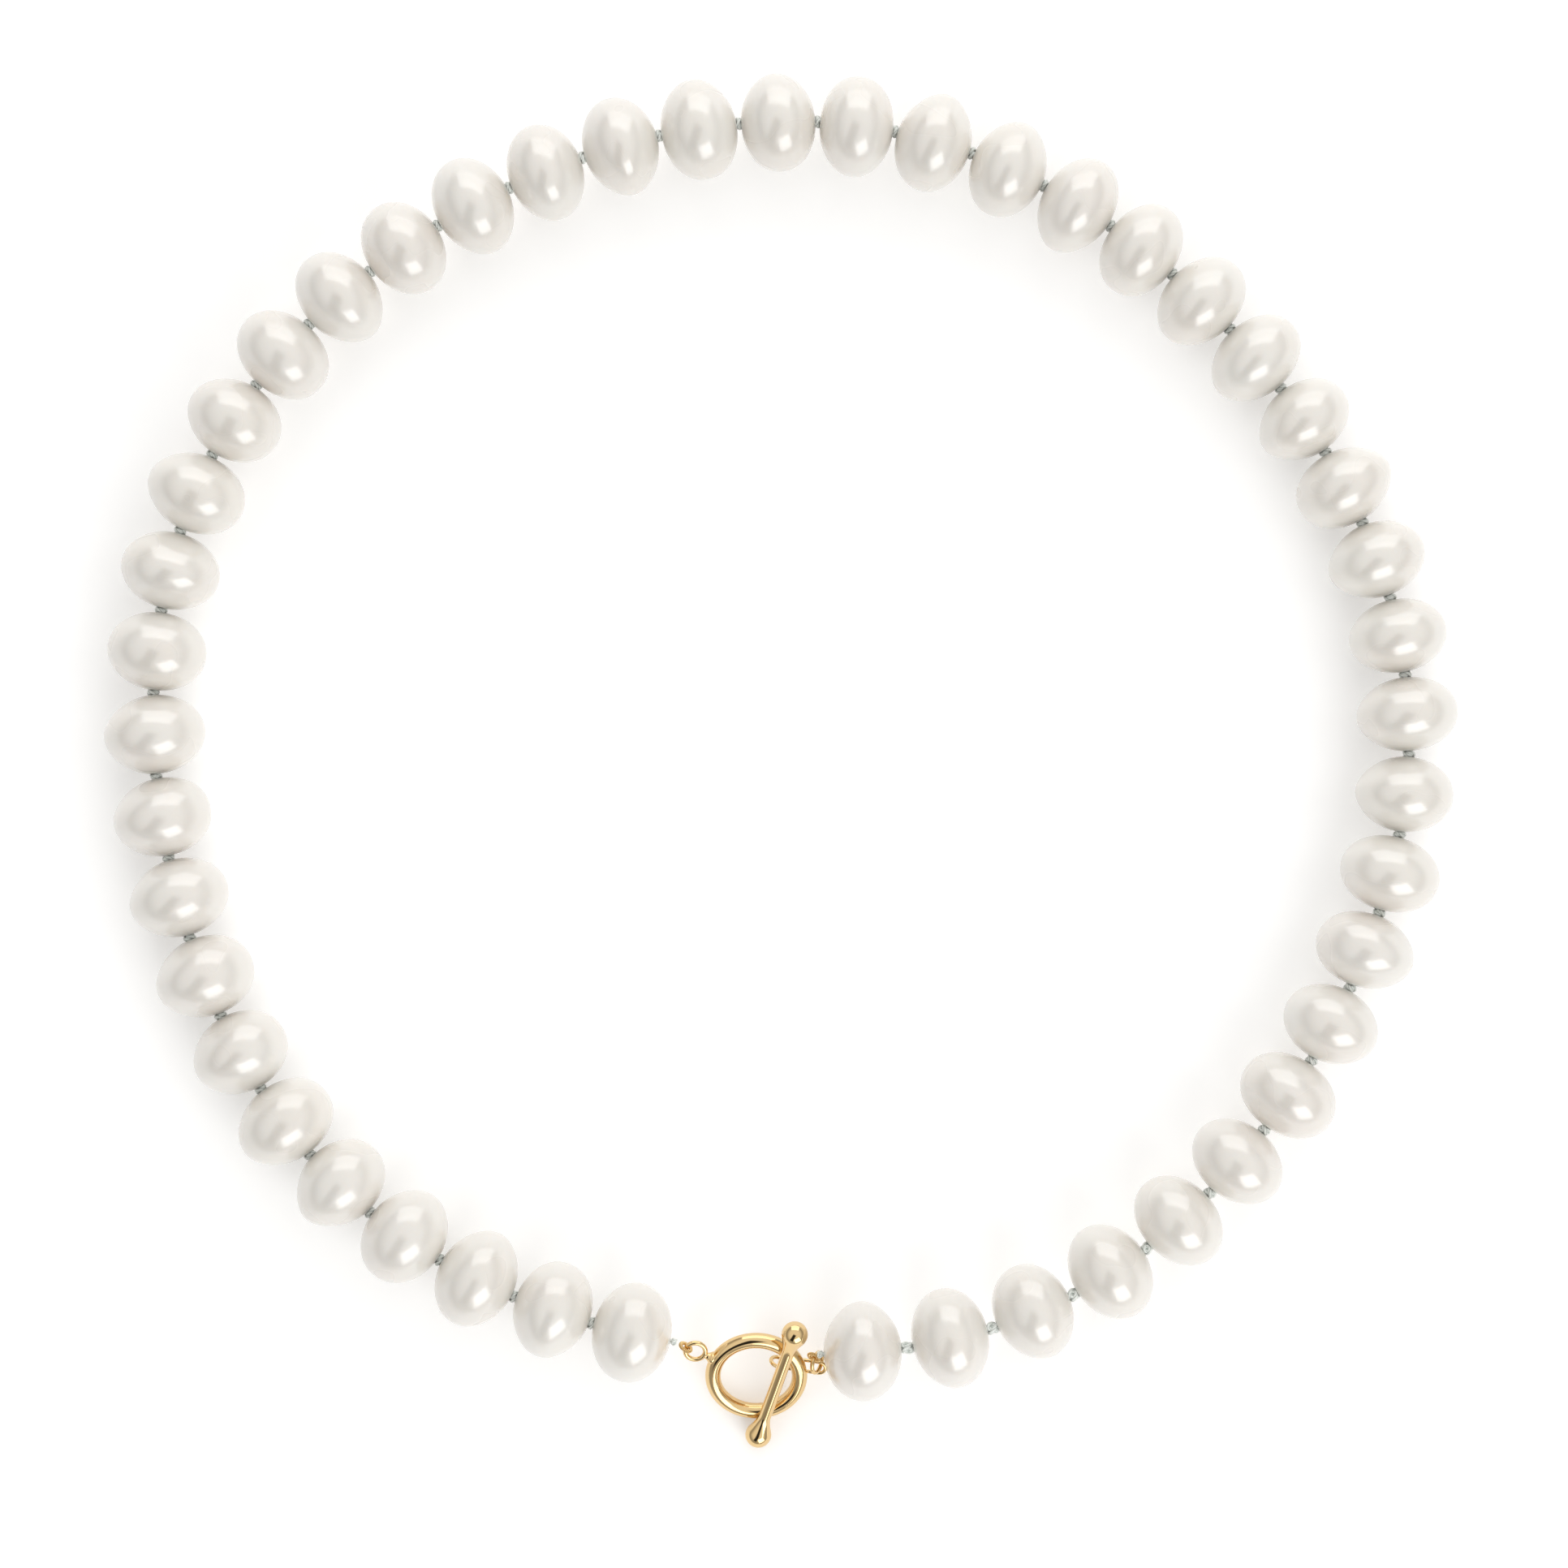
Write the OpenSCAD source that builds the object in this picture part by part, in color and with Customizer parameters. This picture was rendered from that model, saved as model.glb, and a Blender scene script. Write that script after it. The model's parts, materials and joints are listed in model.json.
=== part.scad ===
// Knotted pearl necklace with a toggle clasp, closed and lying flat in a loop.
// Origin: on the table under the middle of the loop. +Z is up, the clasp is on the -Y side.

/* [Strand] */
// Number of pearls
pearl_count = 46; // [40:1:48]
// Width of a pearl across its drill hole, mm
pearl_width = 11.7; // [11.2:0.1:12.4]
// How much the widths differ, mm
width_spread = 0.2; // [0:0.05:0.3]
// Length of a pearl along its drill hole, mm
pearl_length = 8.94; // [8.4:0.02:9.2]
// Slow change of that length round the strand, mm
length_drift = 0.29; // [0:0.01:0.4]
// Quick change of that length from pearl to pearl, mm
length_spread = 0.12; // [0:0.01:0.2]
// Radius of the drill hole, mm
hole_r = 0.5; // [0.45:0.05:0.7]
// Radius of the worn rim where the silk enters, mm
rim_r = 0.95; // [0.8:0.05:1.1]
// Depth of that rim, mm
rim_depth = 0.35; // [0.2:0.05:0.5]

/* [Silk] */
// Radius of the silk thread, mm
thread_r = 0.33; // [0.25:0.01:0.4]
// Radius of a knot, mm
knot_r = 0.6; // [0.5:0.01:0.65]
// Space between two pearls, mm
knot_gap = 0.5; // [0.5:0.05:1.2]
// Extra space before the last pearls, mm
last_gap = 0.97; // [0:0.01:1.5]
// Space between an end knot's two sides, mm
end_gap = 0.9; // [0.8:0.05:1.2]

/* [Lay of the loop] */
// Turn of the first pearl's outer knot from the back of the loop, degrees
first_turn = -169.9; // [-172:0.1:-168]
// Middle of the loop's outline, mm
lay_middle = [-0.4, 0.1];
// Room that the clasp takes in the loop, mm
clasp_span = 17; // [16:0.1:18]
// Waves of the loop's outline: waves per turn, height in mm, place of the crest in degrees
lay_waves = [[1, 2.43, 0], [2, 0.77, 216], [5, 0.67, 47]];

/* [Clasp] */
// Middle of the toggle ring, mm
ring_at = [-2.9, -71.85, 3.52];
// Tilt of the clasp, its outer side resting on the table, degrees
clasp_tilt = 30; // [25:1:32]
// Outer radius of the toggle ring, mm
ring_outer = 6; // [5.8:0.05:6.1]
// Radius of the toggle ring's wire, mm
ring_wire = 0.92; // [0.7:0.01:0.92]
// Length of the bar from tip to tip, mm
bar_length = 18.2; // [17.6:0.1:18.6]
// Radius of the bar's shank, mm
bar_r = 0.74; // [0.6:0.01:0.8]
// Radius of the balls on the bar's ends, mm
ball_r = 1.55; // [1.3:0.01:1.6]
// Length of the neck that joins a ball to the shank, mm
neck_length = 2.1; // [1.8:0.1:2.6]
// Turn of the bar from the strand, degrees
bar_turn = 73.6; // [68:0.1:78]
// Middle of the bar in the toggle ring's plane, mm
bar_at = [2.37, 0.09];
// Height of the bar's axis over the toggle ring's plane, mm
bar_lift = 1.9; // [1.88:0.01:2.1]

/* [Small rings] */
// Radius of the toggle ring's eyelet, to the middle of its wire, mm
eyelet_r = 1.17; // [1.1:0.01:1.2]
// Radius of the eyelet's wire, mm
eyelet_wire = 0.3; // [0.25:0.01:0.3]
// Distance of the eyelet from the toggle ring's middle, mm
eyelet_reach = 7.95; // [7.8:0.05:8]
// Turn of the eyelet from the strand, degrees
eyelet_turn = 153.5; // [152:0.5:155]
// Radius of the bar's eyelet, to the middle of its wire, mm
bar_eyelet_r = 0.95; // [0.9:0.01:1]
// Radius of the small rings' wire, mm
small_wire = 0.25; // [0.2:0.01:0.26]
// Distance of the bar's eyelet from the bar's middle, mm
bar_eyelet_shift = 1; // [0.5:0.1:1.2]
// Depth of the bar's eyelet under the toggle ring's plane, mm
bar_eyelet_drop = 1.25; // [1.1:0.05:1.35]
// Half the inner width of the oval link, mm
link_half = 0.56; // [0.5:0.005:0.6]
// Radius of the oval link's wire, mm
link_wire = 0.22; // [0.2:0.01:0.24]
// Radius of the end ring, to the middle of its wire, mm
end_ring_r = 1.22; // [1.2:0.01:1.25]
// Radius of a gimp loop, to the middle of its coil, mm
gimp_r = 0.68; // [0.66:0.01:0.7]
// Radius of the gimp coil, mm
gimp_wire = 0.24; // [0.2:0.01:0.25]

/* [Hidden] */
pearl_nodes = [for (k = [1:pearl_count]) pearl_name(k)];
metal_nodes = ["toggle_ring", "ring_eyelet", "toggle_bar", "bar_ball_upper", "bar_ball_lower",
               "bar_eyelet", "bar_link", "end_ring", "gimp_left", "gimp_right"];

$fn = 48;
pearl_colour = "#f1ece2";
silk_colour = "#a9aca0";
gold_colour = "#d9b364";

// Steps of the waves that vary the pearls' sizes, degrees per pearl, and where the length's wave starts
width_step = 137;
length_step = 101;
length_start = 40;
// Place in the strand where the pearls are longest
longest_pearl = 6.5;
// How late in the strand the extra space starts
last_gap_power = 8;
// Air left between a knot and what it sits against
touch_gap = 0.02;
// Air left round the thread inside a knot
thread_gap = 0.03;
// Slack between two hooked links
link_slack = 0.19;
tube_sides = 8;
link_arc_steps = 8;
neck_steps = 8;
ball_steps = 12;
// How much the neck of a ball is drawn in
neck_waist = 0.25;
// Radii of the two soldered posts, in radii of their eyelets' wire
ring_post = 2;
bar_post = 1.4;
// Where the ball's round outline ends and its neck starts, degrees from the tip
neck_start = 118;

function total(v) = v * [for (x = v) 1];
function unit(v) = v / norm(v);
function pearl_name(k) = str("pearl_", k < 10 ? "0" : "", k);

// Sizes of pearl k, counted from the toggle ring's side
function width_of(k) = pearl_width + width_spread * sin(width_step * k);
function length_of(k) = pearl_length + length_drift * cos(360 * (k - longest_pearl) / pearl_count)
    + length_spread * sin(length_step * k + length_start);
// Space round knot k, which lies after pearl k
function gap_at(k) = k == 0 || k == pearl_count ? end_gap
    : knot_gap + last_gap * pow(k / pearl_count, last_gap_power);
function pitch_of(k) = length_of(k) + gap_at(k - 1) / 2 + gap_at(k) / 2;

strand_length = total([for (k = [1:pearl_count]) pitch_of(k)]);
lay_r = (strand_length + clasp_span) / (2 * PI);
silk_z = (pearl_width + width_spread) / 2;

// The loop's outline: angle a runs clockwise from the back of the loop
function lay_radius(a) = lay_r + total([for (w = lay_waves) w[1] * cos(w[0] * a - w[2])]);
function lay_point(a) = lay_middle + lay_radius(a) * [sin(a), cos(a)];
// The angle at which the outline is one pitch away from the last knot
function next_turn(a, from, pitch, tries) = tries == 0 ? a
    : next_turn(a + (pitch - norm(lay_point(a) - from)) / lay_radius(a) * 180 / PI, from, pitch, tries - 1);
function turn_after(a, pitch) = next_turn(a + pitch / lay_radius(a) * 180 / PI, lay_point(a), pitch, 4);
knot_turns = [for (k = 0, a = first_turn; k <= pearl_count;
                   a = k < pearl_count ? turn_after(a, pitch_of(k + 1)) : a, k = k + 1) a];
knots = [for (a = knot_turns) [lay_point(a).x, lay_point(a).y, silk_z]];

function along(k) = unit(knots[k] - knots[k - 1]);
// Where the silk enters and leaves pearl k
function hole_in(k) = knots[k - 1] + along(k) * gap_at(k - 1) / 2;
function hole_out(k) = knots[k] - along(k) * gap_at(k) / 2;
function pearl_at(k) = (hole_in(k) + hole_out(k)) / 2;

// A point of the clasp's own frame, whose X-Y plane is the toggle ring's
function from_clasp(p) = ring_at + turn_clasp(p);
function turn_clasp(p) = [p.x, p.y * cos(clasp_tilt) - p.z * sin(clasp_tilt),
                          p.y * sin(clasp_tilt) + p.z * cos(clasp_tilt)];
clasp_up = turn_clasp([0, 0, 1]);
ring_r = ring_outer - ring_wire;

// Left side: end knot, gimp loop, eyelet
eyelet_way = [cos(eyelet_turn), sin(eyelet_turn), 0];
eyelet_at = from_clasp(eyelet_way * eyelet_reach);
eyelet_hook = from_clasp(eyelet_way * (eyelet_reach + eyelet_r));
gimp_reach = knot_r + gimp_wire + gimp_r + touch_gap;
gimp_left_way = unit(eyelet_hook - knots[0]);
gimp_left_at = knots[0] + gimp_left_way * gimp_reach;

// Right side: end knot, gimp loop, end ring, oval link, bar's eyelet
gimp_right_way = unit([-0.41, -0.31, -0.86]);
gimp_right_at = knots[pearl_count] + gimp_right_way * gimp_reach;
end_ring_way = unit([0.26, -0.59, -0.76]);
end_ring_at = gimp_right_at + end_ring_way * end_ring_r;
end_ring_hook = gimp_right_at + end_ring_way * end_ring_r * 2;
bar_way = [cos(bar_turn), sin(bar_turn), 0];
across_bar = [sin(bar_turn), -cos(bar_turn), 0];
bar_eyelet_at = [bar_at.x, bar_at.y, -bar_eyelet_drop] + bar_way * bar_eyelet_shift;
// The link pulls on the lower outer side of the bar's eyelet
link_pull = 15;
bar_hook = from_clasp(bar_eyelet_at + (across_bar * cos(link_pull) - [0, 0, sin(link_pull)]) * bar_eyelet_r);
link_way = unit(end_ring_hook - bar_hook);
link_up = unit(clasp_up - link_way * (clasp_up * link_way));
link_at = (bar_hook + end_ring_hook) / 2;
link_r = link_half + link_wire;
// How far a hooked wire lies beyond the middle of the link's round end
link_tuck = link_half - small_wire - link_slack;
link_straight = norm(end_ring_hook - bar_hook) - 2 * link_tuck;

// Puts its children at p with their X axis along x and their Z axis along z
module on_axes(p, x, z) {
    y = cross(z, x);
    multmatrix([[x.x, y.x, z.x, p.x], [x.y, y.y, z.y, p.y], [x.z, y.z, z.z, p.z]]) children();
}

// Puts its children in the clasp's frame
module in_clasp() {
    translate(ring_at) rotate([clasp_tilt, 0, 0]) children();
}

// A round ring of wire in the X-Y plane
module wire_ring(middle_r, wire_r) {
    rotate_extrude() translate([middle_r, 0]) circle(wire_r, $fn = 24);
}

// A tube of radius r swept in the X-Y plane along points, with the tangent given at each one
module flat_tube(points, tangents, r, closed = false) {
    rings = len(points);
    last = closed ? rings : rings - 1;
    corners = [for (i = [0:rings - 1], s = [0:tube_sides - 1])
        let (a = 360 * s / tube_sides, p = points[i], t = tangents[i])
        [p.x - t.y * r * cos(a), p.y + t.x * r * cos(a), r * sin(a)]];
    walls = [for (i = [0:last - 1], s = [0:tube_sides - 1])
        let (a = i * tube_sides, b = (i + 1) % rings * tube_sides, n = (s + 1) % tube_sides)
        [a + s, a + n, b + n, b + s]];
    start_cap = [for (s = [tube_sides - 1:-1:0]) s];
    end_cap = [for (s = [0:tube_sides - 1]) (rings - 1) * tube_sides + s];
    polyhedron(corners, closed ? walls : concat(walls, [start_cap, end_cap]), convexity = 10);
}

// Half outline of a button pearl: round sides, small flat ends, drill hole with worn rims
module pearl_outline(k) {
    half = length_of(k) / 2;
    flat = width_of(k) / 2 - half;
    difference() {
        union() {
            intersection() {
                translate([flat, 0]) circle(half, $fn = 96);
                translate([hole_r, -half]) square([width_of(k), 2 * half]);
            }
            translate([hole_r, -half]) square([flat - hole_r, 2 * half]);
        }
        for (side = [-1, 1])
            polygon([[0, side * half], [rim_r, side * half], [hole_r, side * (half - rim_depth)],
                     [0, side * (half - rim_depth)]]);
    }
}

module pearl(k) {
    way = along(k);
    color(pearl_colour) translate(pearl_at(k)) rotate([0, 90, atan2(way.y, way.x)])
        rotate_extrude($fn = 96) pearl_outline(k);
}

// The thread runs straight through each pearl and bends at the knots
module silk_thread() {
    middle = [for (k = [1:pearl_count], end = [0, 1]) end == 0 ? hole_in(k) : hole_out(k)];
    ways = [for (k = [1:pearl_count], end = [0, 1]) along(k)];
    points = concat([knots[0]], middle, [knots[pearl_count]]);
    tangents = concat([along(1)], ways, [along(pearl_count)]);
    color(silk_colour) translate([0, 0, silk_z]) flat_tube(points, tangents, thread_r);
}

// One knot tied after pearl k, on the thread
module silk_knot(k) {
    way = unit(along(max(k, 1)) + along(min(k + 1, pearl_count)));
    translate(knots[k]) rotate([0, 90, atan2(way.y, way.x)]) difference() {
        sphere(knot_r);
        cylinder(r = thread_r + thread_gap, h = 4 * knot_r, center = true);
    }
}

module silk_knots() {
    color(silk_colour) for (k = [0:pearl_count]) silk_knot(k);
}

// French wire loops that guard the silk where it holds the clasp
module gimp_left() {
    color(gold_colour) on_axes(gimp_left_at, gimp_left_way, unit(cross(gimp_left_way, clasp_up)))
        wire_ring(gimp_r, gimp_wire);
}

module gimp_right() {
    color(gold_colour) on_axes(gimp_right_at, gimp_right_way, unit(cross(gimp_right_way, end_ring_way)))
        wire_ring(gimp_r, gimp_wire);
}

module toggle_ring() {
    color(gold_colour) in_clasp() wire_ring(ring_r, ring_wire, $fn = 96);
}

// Eyelet soldered to the toggle ring through a short neck
module ring_eyelet() {
    neck_end = eyelet_reach - eyelet_r;
    color(gold_colour) in_clasp() rotate([0, 0, eyelet_turn]) difference() {
        union() {
            translate([eyelet_reach, 0, 0]) wire_ring(eyelet_r, eyelet_wire);
            translate([ring_r, 0, 0]) rotate([0, 90, 0]) cylinder(r = ring_post * eyelet_wire, h = neck_end - ring_r);
        }
        wire_ring(ring_r, ring_wire, $fn = 96);
    }
}

// Puts its children on the bar: X along it, from its middle
module on_bar() {
    in_clasp() translate([bar_at.x, bar_at.y, bar_lift]) rotate([0, 0, bar_turn]) children();
}

neck_root = bar_length / 2 - ball_r * (1 - cos(neck_start)) - neck_length;

module toggle_bar() {
    color(gold_colour) on_bar() rotate([0, 90, 0]) cylinder(r = bar_r, h = 2 * neck_root, center = true);
}

// Outline of a ball that flows into the shank, tip upwards, from the neck's root
function ball_point(a) = [ball_r * sin(a), bar_length / 2 - ball_r + ball_r * cos(a)];
function neck_point(t) = let (
        start = ball_point(neck_start),
        pull = (1 - t) * (1 - t) * (1 + 2 * t),
        sag = t * (1 - t) * (1 - t) * neck_length / tan(neck_start - 90))
    [bar_r + (start.x - bar_r) * pull - sag * neck_waist, start.y - neck_length * t];

module bar_ball() {
    outline = concat([[0, neck_root]],
                     [for (i = [neck_steps:-1:1]) neck_point(i / neck_steps)],
                     [for (i = [ball_steps:-1:0]) ball_point(neck_start * i / ball_steps)]);
    rotate_extrude() polygon(outline);
}

module bar_ball_upper() {
    color(gold_colour) on_bar() rotate([0, 90, 0]) bar_ball();
}

module bar_ball_lower() {
    color(gold_colour) on_bar() rotate([0, -90, 0]) bar_ball();
}

// Eyelet on a short post under the bar, its hole along the bar
module bar_eyelet() {
    depth = bar_lift + bar_eyelet_drop;
    post = depth - bar_eyelet_r;
    color(gold_colour) on_bar() translate([bar_eyelet_shift, 0, 0]) difference() {
        union() {
            translate([0, 0, -depth]) rotate([0, 90, 0]) wire_ring(bar_eyelet_r, small_wire);
            translate([0, 0, -post]) cylinder(r = bar_post * small_wire, h = post);
        }
        rotate([0, 90, 0]) cylinder(r = bar_r, h = 4 * bar_eyelet_r, center = true);
    }
}

// Oval link from the bar's eyelet to the end ring, passing under the toggle ring
module bar_link() {
    turns = [for (side = [0, 1], i = [0:link_arc_steps]) 180 * side - 90 + 180 * i / link_arc_steps];
    middles = [for (side = [1, -1], i = [0:link_arc_steps]) side * link_straight / 2];
    points = [for (i = [0:len(turns) - 1]) [middles[i] + link_r * cos(turns[i]), link_r * sin(turns[i])]];
    tangents = [for (a = turns) [-sin(a), cos(a)]];
    color(gold_colour) on_axes(link_at, link_way, link_up) flat_tube(points, tangents, link_wire, true);
}

module end_ring() {
    across = unit(cross(gimp_right_way, end_ring_way));
    color(gold_colour) on_axes(end_ring_at, end_ring_way, cross(end_ring_way, across))
        wire_ring(end_ring_r, small_wire);
}

for (k = [1:pearl_count]) pearl(k);
silk_thread();
silk_knots();
toggle_ring();
ring_eyelet();
toggle_bar();
bar_ball_upper();
bar_ball_lower();
bar_eyelet();
bar_link();
end_ring();
gimp_left();
gimp_right();
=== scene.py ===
import json
import math
import random

import bmesh
import bpy
from mathutils import Matrix, Vector

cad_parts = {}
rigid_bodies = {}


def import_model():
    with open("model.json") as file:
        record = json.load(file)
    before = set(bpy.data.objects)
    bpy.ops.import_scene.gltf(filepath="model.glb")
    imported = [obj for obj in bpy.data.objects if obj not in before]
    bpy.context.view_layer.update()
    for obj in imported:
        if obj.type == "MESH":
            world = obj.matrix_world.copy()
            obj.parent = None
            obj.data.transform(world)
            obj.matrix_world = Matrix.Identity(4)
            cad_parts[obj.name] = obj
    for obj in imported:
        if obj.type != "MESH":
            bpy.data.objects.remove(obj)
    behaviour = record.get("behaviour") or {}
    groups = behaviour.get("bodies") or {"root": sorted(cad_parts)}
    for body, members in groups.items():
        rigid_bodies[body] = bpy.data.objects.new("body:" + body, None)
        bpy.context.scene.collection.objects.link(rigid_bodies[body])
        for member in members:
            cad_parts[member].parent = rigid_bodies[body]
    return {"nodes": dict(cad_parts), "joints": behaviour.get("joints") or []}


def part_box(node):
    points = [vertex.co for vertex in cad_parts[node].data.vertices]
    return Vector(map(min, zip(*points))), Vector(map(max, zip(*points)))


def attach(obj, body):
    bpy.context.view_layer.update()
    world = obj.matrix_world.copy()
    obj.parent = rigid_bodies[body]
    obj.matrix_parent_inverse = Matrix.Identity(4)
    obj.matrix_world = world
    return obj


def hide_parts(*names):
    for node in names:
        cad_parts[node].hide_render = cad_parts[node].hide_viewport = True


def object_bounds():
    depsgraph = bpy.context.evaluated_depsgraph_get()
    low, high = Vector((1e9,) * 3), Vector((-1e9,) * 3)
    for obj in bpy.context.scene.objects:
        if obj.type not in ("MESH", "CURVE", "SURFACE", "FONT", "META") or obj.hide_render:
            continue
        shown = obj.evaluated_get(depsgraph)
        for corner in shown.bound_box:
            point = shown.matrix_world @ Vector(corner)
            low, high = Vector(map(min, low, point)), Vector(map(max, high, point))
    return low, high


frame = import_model()
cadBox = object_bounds()
scene = bpy.context.scene
print("frame loaded:", len(frame["nodes"]), "solids")

mm = 0.001
up = Vector((0, 0, 1))


# small helpers for node trees; a value that is a socket is linked, anything else is set
def plug(tree, socket, value):
    if isinstance(value, bpy.types.NodeSocket):
        tree.links.new(value, socket)
    else:
        socket.default_value = value


def pick(sockets, label):
    return next(s for s in sockets if s.name == label and s.enabled)


def put(tree, kind, inputs=None, out=None, **settings):
    node = tree.nodes.new(kind)
    for key, value in settings.items():
        setattr(node, key, value)
    for label, value in (inputs or {}).items():
        plug(tree, pick(node.inputs, label), value)
    return pick(node.outputs, out) if out else node


def calc(tree, operation, *values):
    node = put(tree, "ShaderNodeMath", operation=operation)
    for socket, value in zip(node.inputs, values):
        plug(tree, socket, value)
    return node.outputs[0]


def scaled(tree, vector, amount):
    node = put(tree, "ShaderNodeVectorMath", operation="SCALE")
    plug(tree, node.inputs["Vector"], vector)
    plug(tree, node.inputs["Scale"], amount)
    return node.outputs["Vector"]


def added(tree, first, *others):
    for other in others:
        node = put(tree, "ShaderNodeVectorMath", operation="ADD")
        plug(tree, node.inputs[0], first)
        plug(tree, node.inputs[1], other)
        first = node.outputs["Vector"]
    return first


def placed(tree, middle, axes, steps):
    # middle + x * xAxis + y * yAxis + z * zAxis
    return added(tree, middle, *[scaled(tree, a, s) for a, s in zip(axes, steps)])


def startTree(name, inputs):
    tree = bpy.data.node_groups.new(name, "GeometryNodeTree")
    tree.interface.new_socket("Geometry", in_out="OUTPUT", socket_type="NodeSocketGeometry")
    kinds = {float: "NodeSocketFloat", int: "NodeSocketInt", Vector: "NodeSocketVector"}
    for label, value in inputs.items():
        kind = kinds.get(type(value), "NodeSocketMaterial")
        socket = tree.interface.new_socket(label, in_out="INPUT", socket_type=kind)
        socket.default_value = value
    return tree, tree.nodes.new("NodeGroupInput").outputs


def endTree(tree, geometry, material):
    real = put(tree, "GeometryNodeRealizeInstances", {"Geometry": geometry}, "Geometry")
    smooth = put(tree, "GeometryNodeSetShadeSmooth", {"Geometry": real}, "Geometry")
    painted = put(tree, "GeometryNodeSetMaterial", {"Geometry": smooth, "Material": material}, "Geometry")
    tree.links.new(painted, tree.nodes.new("NodeGroupOutput").inputs[0])


def addObject(name, mesh):
    piece = bpy.data.objects.new(name, mesh)
    scene.collection.objects.link(piece)
    return piece


def cleanMesh(mesh, seam=0.0005 * mm):
    # closes seams and poles, then turns every face outwards
    work = bmesh.new()
    work.from_mesh(mesh)
    bmesh.ops.remove_doubles(work, verts=work.verts, dist=seam)
    bmesh.ops.dissolve_degenerate(work, edges=work.edges, dist=seam)
    bmesh.ops.recalc_face_normals(work, faces=work.faces)
    for face in work.faces:
        face.smooth = True
    work.to_mesh(mesh)
    work.free()
    mesh.update()


def evaluatedMesh(host):
    graph = bpy.context.evaluated_depsgraph_get()
    mesh = bpy.data.meshes.new_from_object(host.evaluated_get(graph), preserve_all_data_layers=True,
                                           depsgraph=graph)
    bpy.data.objects.remove(host)
    cleanMesh(mesh)
    return mesh


def growMesh(tree, values):
    host = addObject(tree.name + "Host", bpy.data.meshes.new(tree.name + "Host"))
    modifier = host.modifiers.new("grow", "NODES")
    modifier.node_group = tree
    sockets = {s.name: s.identifier for s in tree.interface.items_tree if s.in_out == "INPUT"}
    for label, value in values.items():
        modifier[sockets[label]] = tuple(value) if isinstance(value, Vector) else value
    return evaluatedMesh(host)


def startMaterial(name):
    material = bpy.data.materials.new(name)
    material.use_nodes = True
    tree = material.node_tree
    shader = next(n for n in tree.nodes if n.type == "BSDF_PRINCIPLED")
    where = put(tree, "ShaderNodeTexCoord").outputs["Object"]
    return material, tree, shader.inputs, where


def noise(tree, where, scale, detail=2.0, roughness=0.5, distortion=0.0):
    return put(tree, "ShaderNodeTexNoise", {"Vector": where, "Scale": scale, "Detail": detail,
               "Roughness": roughness, "Distortion": distortion}, "Fac")


def blendColours(tree, amount, first, second):
    node = put(tree, "ShaderNodeMix", data_type="RGBA")
    plug(tree, node.inputs[0], amount)
    plug(tree, node.inputs[6], first)
    plug(tree, node.inputs[7], second)
    return node.outputs[2]


def spread(tree, value, low, high, newLow=0.0, newHigh=1.0, ease="LINEAR"):
    return put(tree, "ShaderNodeMapRange", {"Value": value, "From Min": low, "From Max": high,
               "To Min": newLow, "To Max": newHigh}, "Result", interpolation_type=ease)


def bumps(tree, shader, height, strength, distance):
    plug(tree, shader["Normal"], put(tree, "ShaderNodeBump", {"Height": height, "Strength": strength,
         "Distance": distance}, "Normal"))


nacreLook = {
    "white": (0.80, 0.785, 0.74, 1), "cream": (0.78, 0.735, 0.66, 1), "rose": (0.78, 0.72, 0.67, 1),
    "pearlToPearl": 75.0, "clouds": 150.0,
    "skin": 900.0, "skinStrength": 0.1, "skinDepth": 0.03 * mm,
    "roughness": (0.24, 0.32), "coat": 0.7, "coatRoughness": 0.2,
    "ior": 1.6, "coatIor": 2.3, "glow": 0.15, "glowReach": (1.0, 0.75, 0.55), "depth": 0.5 * mm,
}


def makeNacre():
    look = nacreLook
    material, tree, shader, where = startMaterial("nacre")
    tint = noise(tree, where, look["pearlToPearl"], 0.0)
    clouds = noise(tree, where, look["clouds"], 1.0, 0.4)
    warm = blendColours(tree, clouds, look["cream"], look["white"])
    plug(tree, shader["Base Color"], blendColours(tree, tint, warm,
         blendColours(tree, clouds, look["rose"], look["white"])))
    plug(tree, shader["Roughness"], spread(tree, clouds, 0.0, 1.0, *look["roughness"]))
    shader["IOR"].default_value = look["ior"]
    shader["Coat Weight"].default_value = look["coat"]
    shader["Coat Roughness"].default_value = look["coatRoughness"]
    shader["Coat IOR"].default_value = look["coatIor"]
    shader["Subsurface Weight"].default_value = look["glow"]
    shader["Subsurface Radius"].default_value = look["glowReach"]
    shader["Subsurface Scale"].default_value = look["depth"]
    bumps(tree, shader, noise(tree, where, look["skin"], 2.0, 0.5), look["skinStrength"], look["skinDepth"])
    return material


silkLook = {
    # the darkest colour here is painted shade for the creases between the plies
    "light": (0.93, 0.97, 0.94, 1), "shade": (0.80, 0.86, 0.82, 1), "paintedCreaseShade": (0.30, 0.34, 0.31, 1),
    "fibres": 9000.0, "stains": 60.0, "fuzz": 0.5, "fuzzDepth": 0.03 * mm,
}


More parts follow.
